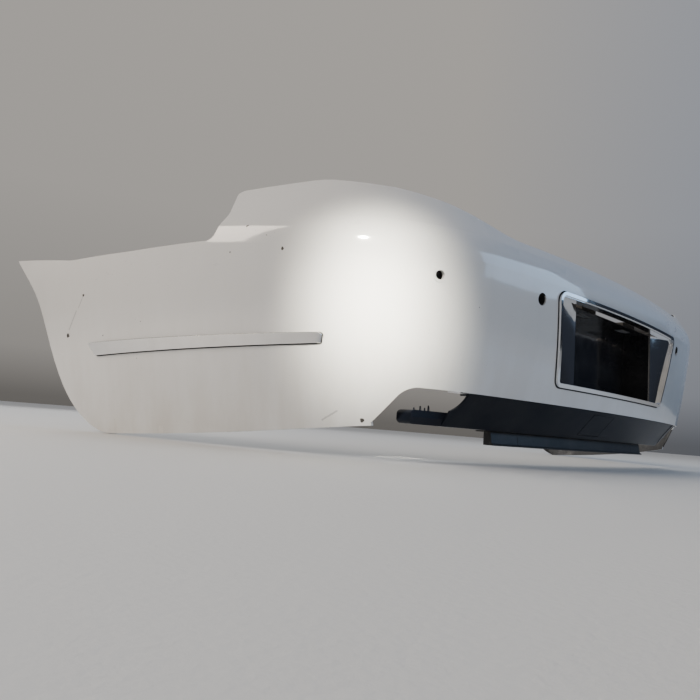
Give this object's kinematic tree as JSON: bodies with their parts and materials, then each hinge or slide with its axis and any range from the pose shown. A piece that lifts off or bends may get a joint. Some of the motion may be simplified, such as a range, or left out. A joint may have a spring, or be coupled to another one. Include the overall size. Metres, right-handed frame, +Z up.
{
  "type": "bumper cover",
  "caption": "Painted wrap-around rear bumper cover with bright side strips, framed plate recess, sensor holes and a dark lower valance with tray.",
  "frame": {"origin": "middle of the car, half way along the cover, on the level of the lower corners of the wings", "axes": "+X to the car's right, +Y to the car's front, +Z up; the painted rear face looks along -Y"},
  "size_m": [1.9436, 0.9234, 0.4657],
  "materials": {
    "white_paint": "white clear-coated paint on moulded plastic, gloss, with light scuffs",
    "bright_trim": "bright chromium plating",
    "black_rubber": "matt",
    "gloss_black": "gloss black",
    "dark_valance": "dark satin moulding",
    "tray_plastic": "grained",
    "black_plastic": "matt moulding",
    "clear_lens": "clear, lightly ribbed",
    "bulb_glass": "clear",
    "zinc_steel": "zinc plated, satin"
  },
  "bodies": {
    "cover": {"bumper_skin": "white_paint", "plate_surround": "bright_trim", "plate_gasket": "black_rubber", "plate_box": "gloss_black", "plate_screw_inserts": "zinc_steel", "plate_surround_clips": "zinc_steel", "plate_lamp_housing_left": "black_plastic", "plate_lamp_housing_right": "black_plastic", "plate_lamp_lens_left": "clear_lens", "plate_lamp_lens_right": "clear_lens", "plate_lamp_bulb_left": "bulb_glass", "plate_lamp_bulb_right": "bulb_glass", "lower_valance": "dark_valance", "tow_flap_hinge": "dark_valance", "tray_centre": "tray_plastic", "tray_end_left": "tray_plastic", "tray_end_right": "tray_plastic", "top_support_rail": "black_plastic", "top_rivets": "black_plastic", "valance_screws": "zinc_steel", "tray_clips": "black_plastic", "side_strip_left": "bright_trim", "side_strip_right": "bright_trim", "side_strip_seal_left": "black_rubber", "side_strip_seal_right": "black_rubber", "side_strip_clips_left": "black_plastic", "side_strip_clips_right": "black_plastic", "sensor_ring_left": "white_paint", "sensor_ring_right": "white_paint", "sensor_holder_inner_left": "black_plastic", "sensor_holder_inner_right": "black_plastic", "sensor_holder_outer_left": "black_plastic", "sensor_holder_outer_right": "black_plastic", "side_guide_left": "black_plastic", "side_guide_right": "black_plastic", "lamp_corner_bracket_left": "black_plastic", "lamp_corner_bracket_right": "black_plastic", "arch_clip_nuts_left": "zinc_steel", "arch_clip_nuts_right": "zinc_steel"},
    "tow_eye_flap": {"tow_flap": "dark_valance"}
  },
  "joints": [
    {"name": "tow_flap_hinge", "type": "hinge", "parent": "cover", "child": "tow_eye_flap", "pos_m": [-0.025, -0.38136, 0.07423], "axis": [1, 0, 0], "range_deg": [0, 75]}
  ]
}
